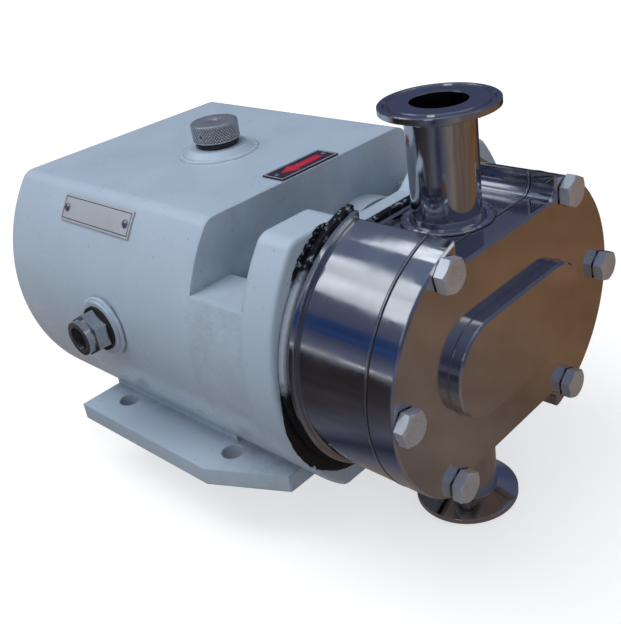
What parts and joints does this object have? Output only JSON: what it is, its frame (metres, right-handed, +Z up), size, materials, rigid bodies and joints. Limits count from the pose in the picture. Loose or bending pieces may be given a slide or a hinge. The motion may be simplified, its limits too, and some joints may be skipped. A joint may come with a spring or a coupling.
{
  "type": "rotary lobe pump",
  "caption": "Stainless rotary lobe pump with a clamp port above and below its polished head, on a painted foot-mounted gearbox with a keyed drive shaft at the back",
  "frame": {"origin": "centre of the four foot bolt holes, on the underside of the foot", "axes": "+X to the right when facing the front cover, +Y back along the shafts from the cover to the gearbox, +Z up"},
  "size_m": [0.199, 0.3282, 0.2],
  "materials": {
    "arrow_plate": "printed foil",
    "backing_plate": "black gasket sheet",
    "bearing_circlips": "ground bearing steel",
    "bearing_outer_rings": "ground bearing steel",
    "bottom_port": "mirror-polished stainless steel",
    "case_dowels": "bright zinc",
    "coupling_key": "plain steel",
    "cover_bolts": "bright zinc",
    "cover_seal": "black rubber",
    "drain_plug": "nickel-plated steel",
    "drain_washer": "copper",
    "drive_bearing_inner_rings": "ground bearing steel",
    "drive_gear_key": "plain steel",
    "drive_gear_spacer": "plain steel",
    "drive_lock_nut": "plain steel",
    "drive_roller_cages": "machined",
    "drive_rotor": "ground stainless steel",
    "drive_rotor_key": "plain steel",
    "drive_rotor_nut": "turned stainless steel",
    "drive_seal_bellows": "black rubber",
    "drive_seal_collar": "turned stainless steel",
    "drive_seal_ring": "carbon",
    "drive_shaft": "ground stainless steel",
    "drive_timing_gear": "hobbed steel",
    "driven_bearing_inner_rings": "ground bearing steel",
    "driven_gear_key": "plain steel",
    "driven_gear_spacer": "plain steel",
    "driven_lock_nut": "plain steel",
    "driven_roller_cages": "machined",
    "driven_rotor": "ground stainless steel",
    "driven_rotor_key": "plain steel",
    "driven_rotor_nut": "turned stainless steel",
    "driven_seal_bellows": "black rubber",
    "driven_seal_collar": "turned stainless steel",
    "driven_seal_ring": "carbon",
    "driven_shaft": "ground stainless steel",
    "driven_timing_gear": "hobbed steel",
    "filler_cap": "nickel-plated steel",
    "filler_o_ring": "black rubber",
    "front_cover": "mirror-polished stainless steel",
    "front_oil_seals": "brown nitrile",
    "gearbox_housing": "gloss enamel",
    "name_plate": "brushed",
    "rear_cover": "gloss enamel",
    "rear_cover_screws": "bright zinc",
    "rear_gasket": "black gasket sheet",
    "rear_oil_seal": "brown nitrile",
    "rotor_case": "mirror-polished stainless steel",
    "seal_seats": "silicon carbide",
    "sight_glass_body": "nickel-plated steel",
    "sight_glass_gasket": "black rubber",
    "sight_glass_lens": "clear",
    "top_port": "mirror-polished stainless steel"
  },
  "bodies": {
    "pump_body": {"arrow_plate": "arrow_plate", "backing_plate": "backing_plate", "bearing_circlips": "bearing_circlips", "bearing_outer_rings": "bearing_outer_rings", "bottom_port": "bottom_port", "case_dowels": "case_dowels", "cover_bolts": "cover_bolts", "cover_seal": "cover_seal", "drain_plug": "drain_plug", "drain_washer": "drain_washer", "front_cover": "front_cover", "front_oil_seals": "front_oil_seals", "gearbox_housing": "gearbox_housing", "name_plate": "name_plate", "rear_cover": "rear_cover", "rear_cover_screws": "rear_cover_screws", "rear_gasket": "rear_gasket", "rear_oil_seal": "rear_oil_seal", "rotor_case": "rotor_case", "seal_seats": "seal_seats", "sight_glass_body": "sight_glass_body", "sight_glass_gasket": "sight_glass_gasket", "sight_glass_lens": "sight_glass_lens", "top_port": "top_port"},
    "drive_shaft_group": {"drive_bearing_inner_rings": "drive_bearing_inner_rings", "drive_gear_key": "drive_gear_key", "drive_gear_spacer": "drive_gear_spacer", "drive_lock_nut": "drive_lock_nut", "drive_rotor": "drive_rotor", "drive_rotor_key": "drive_rotor_key", "drive_rotor_nut": "drive_rotor_nut", "drive_seal_bellows": "drive_seal_bellows", "drive_seal_collar": "drive_seal_collar", "drive_seal_ring": "drive_seal_ring", "drive_shaft": "drive_shaft", "drive_timing_gear": "drive_timing_gear", "coupling_key": "coupling_key"},
    "driven_shaft_group": {"driven_bearing_inner_rings": "driven_bearing_inner_rings", "driven_gear_key": "driven_gear_key", "driven_gear_spacer": "driven_gear_spacer", "driven_lock_nut": "driven_lock_nut", "driven_rotor": "driven_rotor", "driven_rotor_key": "driven_rotor_key", "driven_rotor_nut": "driven_rotor_nut", "driven_seal_bellows": "driven_seal_bellows", "driven_seal_collar": "driven_seal_collar", "driven_seal_ring": "driven_seal_ring", "driven_shaft": "driven_shaft", "driven_timing_gear": "driven_timing_gear"},
    "drive_bearing_cages": {"drive_roller_cages": "drive_roller_cages"},
    "driven_bearing_cages": {"driven_roller_cages": "driven_roller_cages"},
    "filler_cap_group": {"filler_cap": "filler_cap", "filler_o_ring": "filler_o_ring"}
  },
  "joints": [
    {"name": "drive_shaft_spin", "type": "hinge", "parent": "pump_body", "child": "drive_shaft_group", "pos_m": [0.026, 0, 0.068], "axis": [0, 1, 0], "continuous": true},
    {"name": "driven_shaft_spin", "type": "hinge", "parent": "pump_body", "child": "driven_shaft_group", "pos_m": [-0.026, 0, 0.068], "axis": [0, 1, 0], "continuous": true},
    {"name": "drive_cage_spin", "type": "hinge", "parent": "pump_body", "child": "drive_bearing_cages", "pos_m": [0.026, 0, 0.068], "axis": [0, 1, 0], "continuous": true},
    {"name": "driven_cage_spin", "type": "hinge", "parent": "pump_body", "child": "driven_bearing_cages", "pos_m": [-0.026, 0, 0.068], "axis": [0, 1, 0], "continuous": true},
    {"name": "filler_cap_turn", "type": "hinge", "parent": "pump_body", "child": "filler_cap_group", "pos_m": [0, 0.022, 0.132], "axis": [0, 0, 1], "range_deg": [0, 720]}
  ],
  "couplings": [
    {"joint": "driven_shaft_spin", "follows": "drive_shaft_spin", "ratio": -1},
    {"joint": "drive_cage_spin", "follows": "drive_shaft_spin", "ratio": 0.4236},
    {"joint": "driven_cage_spin", "follows": "drive_shaft_spin", "ratio": -0.4236}
  ]
}
